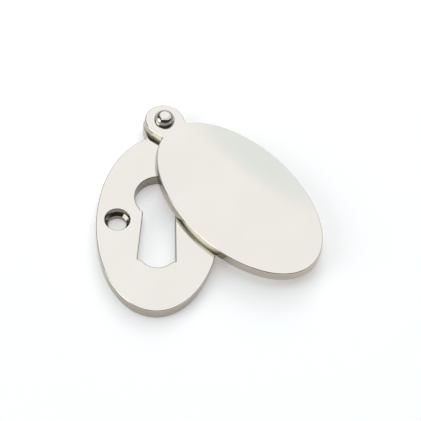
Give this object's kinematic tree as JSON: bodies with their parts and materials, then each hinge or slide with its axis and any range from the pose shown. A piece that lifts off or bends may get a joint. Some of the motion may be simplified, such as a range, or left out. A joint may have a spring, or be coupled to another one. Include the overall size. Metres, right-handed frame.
{
  "type": "keyhole escutcheon",
  "caption": "Oval keyhole escutcheon: flat plate with a flared keyhole and countersunk screw holes, and a low-domed oval cover that swings aside on a riveted pin to let a key in.",
  "frame": {"origin": "centre of the plate's oval, on its back face", "axes": "+Z out of the door, +Y from the oval's centre to the pivot, +X to the right seen from the front"},
  "size_m": [0.05, 0.0544, 0.0068],
  "materials": {
    "polished_nickel": "polished nickel plate over solid brass"
  },
  "bodies": {
    "plate": {"base_plate": "polished_nickel", "pivot_pin": "polished_nickel"},
    "cover": {"swing_cover": "polished_nickel"}
  },
  "joints": [
    {"name": "cover_swing", "type": "hinge", "parent": "plate", "child": "cover", "pos_m": [0, 0.0265, 0], "axis": [0, 0, 1], "continuous": true}
  ]
}
